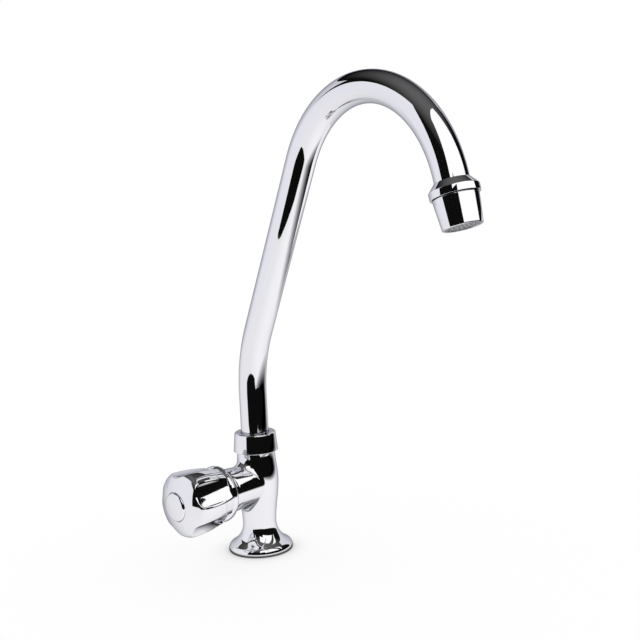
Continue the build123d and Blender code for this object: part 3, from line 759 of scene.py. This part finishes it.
def knob_skin(k):
    """Outside of the knob's shell from the seam to the button's recess."""
    # The flank's arc runs tangent into the straight part at the widest station.
    drop = flank_drop(k)
    flank = ((k.widest - k.seam) ** 2 + drop**2) / (2 * drop)
    points = [
        (s, k.radius - flank + sqrt(flank**2 - (k.widest - s) ** 2))
        for s in between(k.seam, k.widest, 56)
    ]
    # The edge's rounding touches the straight part and the dome from inside.
    dome = k.front - k.dome_radius
    edge = k.radius - k.edge_round
    rise = sqrt((k.dome_radius - k.edge_round) ** 2 - edge**2)
    points += [(s, k.radius) for s in between(k.widest, dome + rise, 18)[1:-1]]
    last = degrees(atan2(edge, rise))
    points += arc((dome + rise, edge), k.edge_round, 90, last, 30)
    hole = k.button_radius + BUTTON_GAP
    end = degrees(asin((hole + RECESS_ROUND) / k.dome_radius))
    points += arc((dome, 0), k.dome_radius, last, end, 26)[1:]
    # A small rounding leads from the dome into the button's recess.
    lip = points[-1][0]
    return points + [(lip - 0.0001, hole + 0.0001), (lip - RECESS_ROUND, hole)]


def press_flutes(piece, k, first_station):
    """Moves the skin inwards onto the flutes, with the edges between them softened.

    A flute is the path of a round bar in the plane of its middle. In that plane, along is
    measured with the floor and out square to it, both from the centre of the knob's dome.
    """
    pitch = 2 * pi / k.flutes
    first = k.flute_phase
    lean_cos, lean_sin = cos(k.flute_taper), sin(k.flute_taper)
    dome = k.front - k.dome_radius
    turn_out = k.flute_floor - k.flute_end
    reach = k.dome_radius - k.flute_end + k.flute_run_out
    turn_along = sqrt(reach**2 - turn_out**2)
    turn_angle = atan2(turn_along, turn_out)
    axis_height = bpy.context.scene.tap_column.valve_height
    for vertex in piece.data.vertices:
        station = -vertex.co.x - dome
        up, side = vertex.co.z - axis_height, vertex.co.y
        if -vertex.co.x < first_station or hypot(up, side) < k.button_radius + 2 * BUTTON_GAP:
            continue
        middle = first + pitch * round((atan2(side, up) - first) / pitch)
        height = up * cos(middle) + side * sin(middle)
        across = side * cos(middle) - up * sin(middle)
        if abs(across) >= k.flute_radius:
            continue
        sag = k.flute_radius - sqrt(k.flute_radius**2 - across**2)
        along = station * lean_cos + height * lean_sin
        out = height * lean_cos - station * lean_sin
        bend = Vector((0, 1))
        depth = out - k.flute_floor - sag
        soft = k.ridge_round
        if along > turn_along:
            bend = Vector((along - turn_along, out - turn_out))
            depth = bend.length - k.flute_end - sag
            bent = atan2(*bend) / turn_angle
            if bent > 1:
                continue
            # The flute's end has a crisper edge than its sides.
            soft *= 1 - 0.65 * bent
            bend.normalize()
        share = max(0.0, soft - abs(depth)) / soft
        moved = max(0.0, depth) + share * share * soft / 4
        along -= bend[0] * moved
        out -= bend[1] * moved
        station = along * lean_cos - out * lean_sin
        height = along * lean_sin + out * lean_cos
        vertex.co = (
            -station - dome,
            height * sin(middle) + across * cos(middle),
            axis_height + height * cos(middle) - across * sin(middle),
        )


class TAP_OT_knob(bpy.types.Operator):
    """Fluted knob: shell, rounded rear ring and index button"""

    bl_idname = "tap.knob"
    bl_label = "Knob"

    def execute(self, context):
        k = context.scene.tap_knob
        place = valve_axis(context.scene.tap_column.valve_height)
        seam_radius = k.radius - flank_drop(k)
        self.shell(k, place, seam_radius)
        self.rear_ring(k, place, seam_radius)
        self.button(k, place)
        return {"FINISHED"}

    @staticmethod
    def shell(k, place, seam_radius):
        """Shell with its hub, the screw's recess in it and the flutes."""
        floor = k.front - CROWN
        start, *skin = knob_skin(k)
        piece = turned([
            (k.seam, SHELL_BORE), (k.seam, seam_radius - SEAM_CHAMFER),
            (start[0] + 0.00022, start[1]), *skin,
            (k.button_back, k.button_radius + BUTTON_GAP), (k.button_back, SCREW_RECESS),
            (floor - SCREW_GRIP, SCREW_RECESS), (floor - SCREW_GRIP, SCREW_HOLE),
            (floor - 2 * SCREW_GRIP, SCREW_HOLE), (floor - 2 * SCREW_GRIP, DRIVE_HOLE),
            (HUB_START, DRIVE_HOLE), (HUB_START, HUB), (floor, HUB), (floor, SHELL_BORE),
        ], place, KNOB_STEPS)
        press_flutes(piece, k, k.seam - MERGE)
        finish_piece(piece, "knob_body", "knob", "knob_shell")

    @staticmethod
    def rear_ring(k, place, seam_radius):
        """Ring behind the seam: the flutes' tails, a groove and a round bead."""
        middle = k.bead_radius - k.bead_round
        first = degrees(asin((k.groove_radius - middle) / k.bead_round))
        slope = zip(
            between(k.seam - 0.0002, k.fluted_start + 0.0002, 16),
            between(seam_radius, k.fluted_radius, 16),
        )
        piece = turned([
            (k.seam + SPIGOT_LENGTH, RING_SKIRT), (k.seam + SPIGOT_LENGTH, RING_SPIGOT),
            (k.seam, RING_SPIGOT), (k.seam, seam_radius - SEAM_CHAMFER), *slope,
            (k.fluted_start + 0.00006, k.fluted_radius - 0.00006),
            (k.fluted_start, k.fluted_radius - 0.0002), (k.fluted_start, k.groove_radius),
            *arc((k.back + k.bead_round, middle), k.bead_round, first, 180, 30),
            (k.back, RING_SKIRT),
        ], place, KNOB_STEPS)
        press_flutes(piece, k, k.fluted_start - MERGE)
        finish_piece(piece, "knob_bead_ring", "knob", "knob_rear_ring")

    @staticmethod
    def button(k, place):
        """Blank index button with the dome's curve on its face."""
        dome = k.front + k.button_proud - k.dome_radius
        corner = dome + sqrt(k.dome_radius**2 - k.button_radius**2)
        inner = degrees(asin((k.button_radius - k.button_edge) / k.dome_radius))
        piece = turned(rounded([
            (k.button_back, 0.0), (k.button_back, k.button_radius), (corner, k.button_radius),
            *arc((dome, 0), k.dome_radius, inner, 0, 24),
        ], {2: k.button_edge}, 10), place, INNER_STEPS)
        finish_piece(piece, "blank_button", "knob", "index_button")


# Finishes


def add_node(tree, kind, sockets=None, **settings):
    """Adds a node with its settings, and gives its sockets their values or their links.

    A link is given as the socket that it comes from, or as a node for its first output.
    """
    node = tree.nodes.new(kind)
    for name, value in settings.items():
        setattr(node, name, value)
    for name, value in (sockets or {}).items():
        if isinstance(value, bpy.types.Node):
            value = value.outputs[0]
        if isinstance(value, bpy.types.NodeSocket):
            tree.links.new(value, node.inputs[name])
        else:
            node.inputs[name].default_value = value
    return node


def shade_of(name):
    """RGBA of one of the tap's colours."""
    return [*getattr(bpy.context.scene.tap_finish, name), 1.0]


def chrome_plate(tree):
    """Bright chromium over nickel on polished brass: a hard, nearly perfect mirror."""
    place = add_node(tree, "ShaderNodeTexCoord").outputs["Object"]
    # Buffing leaves long, very shallow waves about 9 mm apart, which bend reflected edges.
    waves = add_node(tree, "ShaderNodeTexNoise", {"Vector": place, "Scale": 110.0, "Detail": 1.0})
    relief = add_node(
        tree, "ShaderNodeBump", {"Height": waves, "Strength": 0.06, "Distance": 0.0002}
    )
    # Chromium mirrors least near 80 degrees from square on, which greys the rims a little.
    return add_node(tree, "ShaderNodeBsdfPrincipled", {
        "Base Color": shade_of("chrome"), "Metallic": 1.0, "Roughness": 0.03,
        "Specular Tint": srgb("#A4A6AC"), "Normal": relief,
    })


def tooled_metal(tree, shade, roughness, strength, depth, grain, stretch):
    """A bare metal with a tooled grain that varies both its gloss and its relief.

    Grain is the distance between tool marks and depth their height, in metres, and stretch
    squeezes the pattern along each axis.
    """
    place = add_node(tree, "ShaderNodeTexCoord").outputs["Object"]
    drawn = add_node(tree, "ShaderNodeMapping", {"Vector": place, "Scale": stretch})
    marks = add_node(tree, "ShaderNodeTexNoise", {
        "Vector": drawn, "Scale": 1 / grain, "Detail": 3.0,
    })
    gloss = add_node(tree, "ShaderNodeMapRange", {
        "Value": marks, "To Min": roughness * 0.7, "To Max": roughness * 1.4,
    })
    relief = add_node(tree, "ShaderNodeBump", {
        "Height": marks, "Strength": strength, "Distance": depth,
    })
    # Handling and air leave bare metal faintly uneven in tone, over about a centimetre.
    patina = add_node(tree, "ShaderNodeTexNoise", {"Vector": place, "Scale": 90.0})
    level = add_node(tree, "ShaderNodeMapRange", {
        "Value": patina, "To Min": 0.86, "To Max": 1.06,
    })
    tone = add_node(tree, "ShaderNodeHueSaturation", {
        "Color": shade_of(shade), "Value": level,
    })
    return add_node(tree, "ShaderNodeBsdfPrincipled", {
        "Base Color": tone, "Metallic": 1.0,
        "Roughness": gloss, "Normal": relief,
    })


def woven_steel(tree):
    """Stainless gauze: a plain weave of wires 0.5 mm apart, with painted shade between them."""
    place = add_node(tree, "ShaderNodeTexCoord").outputs["Object"]
    # One wave repeats every 2 pi / 20 of its scale's unit.
    warp, weft = (
        add_node(
            tree, "ShaderNodeTexWave", {"Vector": place, "Scale": 2 * pi / 20 / 0.0005},
            wave_type="BANDS", bands_direction=direction,
        ).outputs["Fac"]
        for direction in "XY"
    )
    weave = add_node(tree, "ShaderNodeMath", {0: warp, 1: weft}, operation="MAXIMUM")
    relief = add_node(tree, "ShaderNodeBump", {
        "Height": weave, "Strength": 0.6, "Distance": 0.0001,
    })
    # The openings between the wires are painted dark grey: painted shade of the waterway behind
    # them.
    shade = add_node(tree, "ShaderNodeMix", {
        "Factor": weave, "A": srgb("#2B2B2B"), "B": shade_of("steel"),
    }, data_type="RGBA")
    return add_node(tree, "ShaderNodeBsdfPrincipled", {
        "Base Color": shade.outputs["Result"], "Metallic": 1.0, "Roughness": 0.3,
        "Normal": relief,
    })


def moulded(tree, shade, roughness, strength, grain, fleck):
    """A moulded or pressed material with a fine skin texture and slightly uneven tone."""
    place = add_node(tree, "ShaderNodeTexCoord").outputs["Object"]
    skin = add_node(tree, "ShaderNodeTexNoise", {
        "Vector": place, "Scale": 1 / grain, "Detail": 4.0,
    })
    relief = add_node(tree, "ShaderNodeBump", {
        "Height": skin, "Strength": strength, "Distance": 0.00005,
    })
    level = add_node(tree, "ShaderNodeMapRange", {
        "Value": skin, "To Min": 1 - fleck, "To Max": 1 + fleck,
    })
    tone = add_node(tree, "ShaderNodeHueSaturation", {
        "Color": shade_of(shade), "Value": level,
    })
    gloss = add_node(tree, "ShaderNodeMapRange", {
        "Value": skin, "To Min": roughness * 0.85, "To Max": roughness * 1.15,
    })
    return add_node(tree, "ShaderNodeBsdfPrincipled", {
        "Base Color": tone, "Roughness": gloss,
        "Normal": relief,
    })


def glow(tree, shade, strength):
    """Evenly lit paper or a lamp's diffuser, which only mirrors see."""
    return add_node(tree, "ShaderNodeEmission", {"Color": srgb(shade), "Strength": strength})


def lit_floor(tree):
    """Paper with a painted pool of light just before the tap, falling into painted shade at the
    right.
    """
    place = add_node(tree, "ShaderNodeTexCoord").outputs["Object"]
    x, y, _z = add_node(tree, "ShaderNodeSeparateXYZ", {"Vector": place}).outputs
    # A painted pool of light lies 0.17 m in front of the tap and fades over 0.2 m. One soft edge
    # of the painted light runs slantwise past the tap and one along the right side. A painted
    # contact shadow round the foot shows in the foot's rim as a thin dark line.
    pool, slant, foot = (
        add_node(
            tree, "ShaderNodeVectorMath", {0: place, 1: point}, operation=operation
        ).outputs["Value"]
        for operation, point in (
            ("DISTANCE", (0.03, -0.17, 0.0)), ("DOT_PRODUCT", (-0.6, 0.8, 0.0)),
            ("DISTANCE", (0.0, 0.0, 0.0)),
        )
    )
    lit, past, back, beside, contact = (
        add_node(tree, "ShaderNodeMapRange", {
            "Value": source, "From Min": start, "From Max": end, "To Min": low, "To Max": high,
        })
        for source, start, end, low, high in (
            (pool, 0.07, 0.27, 0.98, 0.88), (slant, -0.38, -0.2, 0.0, 1.0),
            (y, -0.2, 0.03, 0.0, 1.0), (x, 0.08, 0.16, 0.0, 1.0),
            (foot, 0.0225, 0.036, 0.04, 1.0),
        )
    )
    level = back
    for operation, other in (
        ("MULTIPLY", beside), ("MAXIMUM", past), ("POWER", 2.0), ("MULTIPLY", lit),
        ("MULTIPLY", contact),
    ):
        level = add_node(tree, "ShaderNodeMath", {0: level, 1: other}, operation=operation)
    return add_node(tree, "ShaderNodeEmission", {"Color": srgb("#FDFDFF"), "Strength": level})


def white_paper(tree):
    """Glowing white backdrop paper, with a contact shadow that is partly real and partly painted.
    """
    # Ambient occlusion within 14 mm dims the glow that the camera sees, which paints shadow round
    # the foot.
    near = add_node(tree, "ShaderNodeAmbientOcclusion", {"Distance": 0.014}, samples=8)
    lit = add_node(tree, "ShaderNodeEmission", {
        "Color": srgb("#FFFFFF"), "Strength": near.outputs["AO"],
    })
    surface = add_node(tree, "ShaderNodeBsdfDiffuse", {"Color": srgb("#FFFFFF")})
    path = add_node(tree, "ShaderNodeLightPath").outputs["Is Camera Ray"]
    seen = add_node(tree, "ShaderNodeMath", {0: path, 1: 0.7}, operation="MULTIPLY")
    return add_node(tree, "ShaderNodeMixShader", {
        "Fac": seen, 1: surface, 2: lit,
    })


# Turned brass: tool marks 0.2 mm apart along the axis, drawn out to rings across it
TURNED_BRASS = {
    "shade": "brass", "roughness": 0.24, "strength": 0.25, "depth": 0.00002, "grain": 0.0002,
}
FINISHES = {
    "chromium_plate": (chrome_plate, {}),
    "turned_brass_upright": (tooled_metal, {**TURNED_BRASS, "stretch": (0.03, 0.03, 1.0)}),
    "turned_brass_valve": (tooled_metal, {**TURNED_BRASS, "stretch": (1.0, 0.03, 0.03)}),
    # Stainless steel, rolled and tumbled: a soft grain one way, 0.15 mm apart
    "stainless_steel": (tooled_metal, {
        "shade": "steel", "roughness": 0.28, "strength": 0.2, "depth": 0.00001,
        "grain": 0.00015, "stretch": (1.0, 0.06, 0.3),
    }),
    "stainless_gauze": (woven_steel, {}),
    # Moulded nitrile rubber: a satin skin with a grain of a third of a millimetre
    "nitrile_rubber": (moulded, {
        "shade": "rubber", "roughness": 0.55, "strength": 0.25, "grain": 0.0003, "fleck": 0.15,
    }),
    # Acetal comes smooth and slightly waxy from the mould.
    "moulded_acetal": (moulded, {
        "shade": "acetal", "roughness": 0.38, "strength": 0.08, "grain": 0.0012, "fleck": 0.03,
    }),
    # The flow insert's acetal is greyed with painted shade, for its place deep in the aerator's
    # mouth.
    "flow_insert_acetal_painted_shade": (moulded, {
        "shade": "insert", "roughness": 0.4, "strength": 0.08, "grain": 0.0012, "fleck": 0.05,
    }),
    # Vulcanised fibre is pressed paper: dull, with a flecked grain of half a millimetre.
    "vulcanised_fibre": (moulded, {
        "shade": "fibre", "roughness": 0.75, "strength": 0.5, "grain": 0.0005, "fleck": 0.22,
    }),
    "white_paper": (white_paper, {}),
    "floor_paper": (lit_floor, {}),
    "cove_paper": (glow, {"shade": "#EDEDF3", "strength": 1.0}),
    "far_paper": (glow, {"shade": "#DEDEE4", "strength": 1.0}),
    "lit_diffuser": (glow, {"shade": "#FFFFFF", "strength": 1.1}),
}
INNER_PIECES = {
    "turned_brass_upright": ("spout_foot",),
    "turned_brass_valve": ("headwork_body", "spindle", "plunger"),
    "stainless_steel": ("clamp_washer", "knob_screw", "spindle_circlip", "washer_screw"),
    "stainless_gauze": ("aerator_screens",),
    "nitrile_rubber": (
        "foot_seal", "clamp_seal", "spout_o_rings", "spindle_o_rings", "seat_washer",
        "aerator_gasket",
    ),
    "flow_insert_acetal_painted_shade": ("aerator_insert",),
    "moulded_acetal": ("lower_slip_ring", "upper_slip_ring"),
    "vulcanised_fibre": ("headwork_washer",),
}


def finish(name):
    """The material of a finish, made the first time that it is asked for."""
    material = bpy.data.materials.get(name)
    if not material:
        material = bpy.data.materials.new(name)
        material.use_nodes = True
        material.node_tree.nodes.clear()
        make, values = FINISHES[name]
        surface = make(material.node_tree, **values)
        add_node(material.node_tree, "ShaderNodeOutputMaterial", {"Surface": surface})
    return material


class TAP_OT_finishes(bpy.types.Operator):
    """Finishes of the inner pieces, whose CAD shapes are shown as they are"""

    bl_idname = "tap.finishes"
    bl_label = "Inner finishes"

    def execute(self, context):
        for look, nodes in INNER_PIECES.items():
            for node in nodes:
                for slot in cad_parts[node].material_slots:
                    slot.material = finish(look)
        return {"FINISHED"}


# Stage

# The cove's floor plan: its front, its slanted left corner, and its other sides
FRONT, RIGHT, BACK, LEFT = -0.373, 1.03, 1.438, -0.402
LOW_LEFT, MID_LEFT, LAMP_END = (-0.118, -0.237), (LEFT, 0.008), 0.2
CARD_LIFT = 0.0002
SOFTBOX_Y = -0.413
SOFTBOX = (
    (-0.219, 0.246), (0.238, 0.246), (0.238, 1.11), (-0.444, 1.11), (-0.444, 0.395),
    (-0.219, 0.395),
)
# A low bent lamp at the right lights the knob's flutes and stays below the outlet.
LOW_LAMP = (
    (0.2545, -0.308), (0.185, -0.2035), (0.152, -0.158), (0.133, -0.125), (0.1125, -0.0847),
    (0.098, -0.062),
)
LOW_LAMP_HEIGHTS = 0.148, 0.246


def card(name, look, corners):
    """A flat card of the studio that shows in the chrome but lights and hides nothing."""
    piece = add_ring(len(corners))
    mesh = bmesh.from_edit_mesh(piece.data)
    for vertex, corner in zip(mesh.verts, corners):
        vertex.co = corner
    bmesh.update_edit_mesh(piece.data)
    bpy.ops.mesh.select_all(action="SELECT")
    bpy.ops.mesh.edge_face_add()
    bpy.ops.object.mode_set(mode="OBJECT")
    piece.name = name
    piece.data.materials.append(finish(look))
    for ray in ("camera", "diffuse", "shadow", "transmission"):
        setattr(piece, f"visible_{ray}", False)


def wall(left, right, low, high):
    """Corners of an upright card between two floor points."""
    return [(*left, low), (*right, low), (*right, high), (*left, high)]


class TAP_OT_stage(bpy.types.Operator):
    """White floor, the studio's cards, plain white surroundings and the camera"""

    bl_idname = "tap.stage"
    bl_label = "Stage"

    def execute(self, context):
        s = context.scene.tap_stage
        bpy.ops.object.select_all(action="DESELECT")
        bpy.ops.mesh.primitive_plane_add(size=s.floor)
        floor = context.object
        floor.name = "floor"
        floor.visible_glossy = False
        floor.data.materials.append(finish("white_paper"))
        self.cards()
        self.surroundings(context)
        self.camera(context, s)
        context.scene.view_settings.view_transform = "Standard"
        return {"FINISHED"}

    @staticmethod
    def cards():
        """The paper cove round the tap and the soft lights over and beside its front."""
        card("cove_floor", "floor_paper", [(x, y, CARD_LIFT) for x, y in (
            (LOW_LEFT[0], FRONT), (LAMP_END, FRONT), (RIGHT, FRONT), (RIGHT, BACK),
            (LEFT, BACK), MID_LEFT, LOW_LEFT,
        )])
        card("cove_left", "cove_paper", wall(MID_LEFT, (LEFT, BACK), 0, 0.652))
        card("cove_back", "far_paper", wall((LEFT, BACK), (RIGHT, BACK), 0, 1.226))
        card("cove_right", "far_paper", wall((RIGHT, -0.139), (RIGHT, BACK), 0, 1.1))
        card("softbox", "lit_diffuser", [(x, SOFTBOX_Y, z) for x, z in SOFTBOX])
        for i, (start, end) in enumerate(zip(LOW_LAMP, LOW_LAMP[1:])):
            card(f"low_lamp_{i}", "lit_diffuser", wall(start, end, *LOW_LAMP_HEIGHTS))

    @staticmethod
    def surroundings(context):
        """White all round for light and the picture, and a dark room for the mirrors."""
        world = bpy.data.worlds.new("studio")
        context.scene.world = world
        world.use_nodes = True
        tree = world.node_tree
        tree.nodes.clear()
        direction = add_node(tree, "ShaderNodeTexCoord").outputs["Generated"]
        height = add_node(tree, "ShaderNodeSeparateXYZ", {"Vector": direction}).outputs["Z"]
        ceiling = add_node(tree, "ShaderNodeMapRange", {
            "Value": height, "From Min": 0.55, "From Max": 1.0, "To Min": 0.004, "To Max": 0.12,
        })
        mirrored = add_node(tree, "ShaderNodeLightPath").outputs["Is Glossy Ray"]
        level = add_node(tree, "ShaderNodeMix", {
            "Factor": mirrored, "A": 1.0, "B": ceiling,
        }, data_type="FLOAT")
        background = add_node(tree, "ShaderNodeBackground", {
            "Color": (1, 1, 1, 1), "Strength": level,
        })
        add_node(tree, "ShaderNodeOutputWorld", {"Surface": background})

    @staticmethod
    def camera(context, s):
        """Camera at the photograph's place, turned a little about its own axis."""
        back = Vector((
            sin(s.azimuth) * cos(s.elevation), -cos(s.azimuth) * cos(s.elevation),
            sin(s.elevation),
        ))
        side = (-back).cross(Vector((0, 0, 1))).normalized()
        up = side.cross(-back)
        right = side * cos(s.roll) + up * sin(s.roll)
        top = up * cos(s.roll) - side * sin(s.roll)
        data = bpy.data.cameras.new("camera")
        data.lens = s.lens
        data.sensor_width = 36.0
        camera = bpy.data.objects.new("camera", data)
        context.scene.collection.objects.link(camera)
        turn = Matrix((right, top, back)).transposed().to_4x4()
        camera.matrix_world = Matrix.Translation(Vector(s.target) + back * s.distance) @ turn
        context.scene.camera = camera


OPERATORS = (
    TAP_OT_column, TAP_OT_shank, TAP_OT_backnut, TAP_OT_collar_nut, TAP_OT_spout,
    TAP_OT_outlet, TAP_OT_knob, TAP_OT_finishes, TAP_OT_stage,
)
SETTINGS = {
    "tap_column": TapColumnSizes, "tap_shank": TapShankSizes, "tap_collar": TapCollarSizes,
    "tap_spout": TapSpoutSizes, "tap_outlet": TapOutletSizes, "tap_knob": TapKnobSizes,
    "tap_finish": TapFinish, "tap_stage": TapStage,
}


class TAP_PT_panel(bpy.types.Panel):
    """Lists the tap's pieces and their sizes"""

    bl_idname = "TAP_PT_panel"
    bl_label = "Kitchen tap"
    bl_space_type = "VIEW_3D"
    bl_region_type = "UI"
    bl_category = "Tap"

    def draw(self, context):
        for operator in OPERATORS:
            self.layout.operator(operator.bl_idname)
        for name, group in SETTINGS.items():
            box = self.layout.box()
            box.label(text=group.__name__)
            for key in group.__annotations__:
                box.prop(getattr(context.scene, name), key)


def register():
    for group in SETTINGS.values():
        bpy.utils.register_class(group)
    for name, group in SETTINGS.items():
        setattr(bpy.types.Scene, name, PointerProperty(type=group))
    for operator in OPERATORS:
        bpy.utils.register_class(operator)
    bpy.utils.register_class(TAP_PT_panel)


def unregister():
    bpy.utils.unregister_class(TAP_PT_panel)
    for operator in reversed(OPERATORS):
        bpy.utils.unregister_class(operator)
    for name, group in reversed(SETTINGS.items()):
        delattr(bpy.types.Scene, name)
        bpy.utils.unregister_class(group)


def main():
    register()
    for operator in OPERATORS:
        group, name = operator.bl_idname.split(".")
        getattr(getattr(bpy.ops, group), name)()


if __name__ == "__main__":
    main()
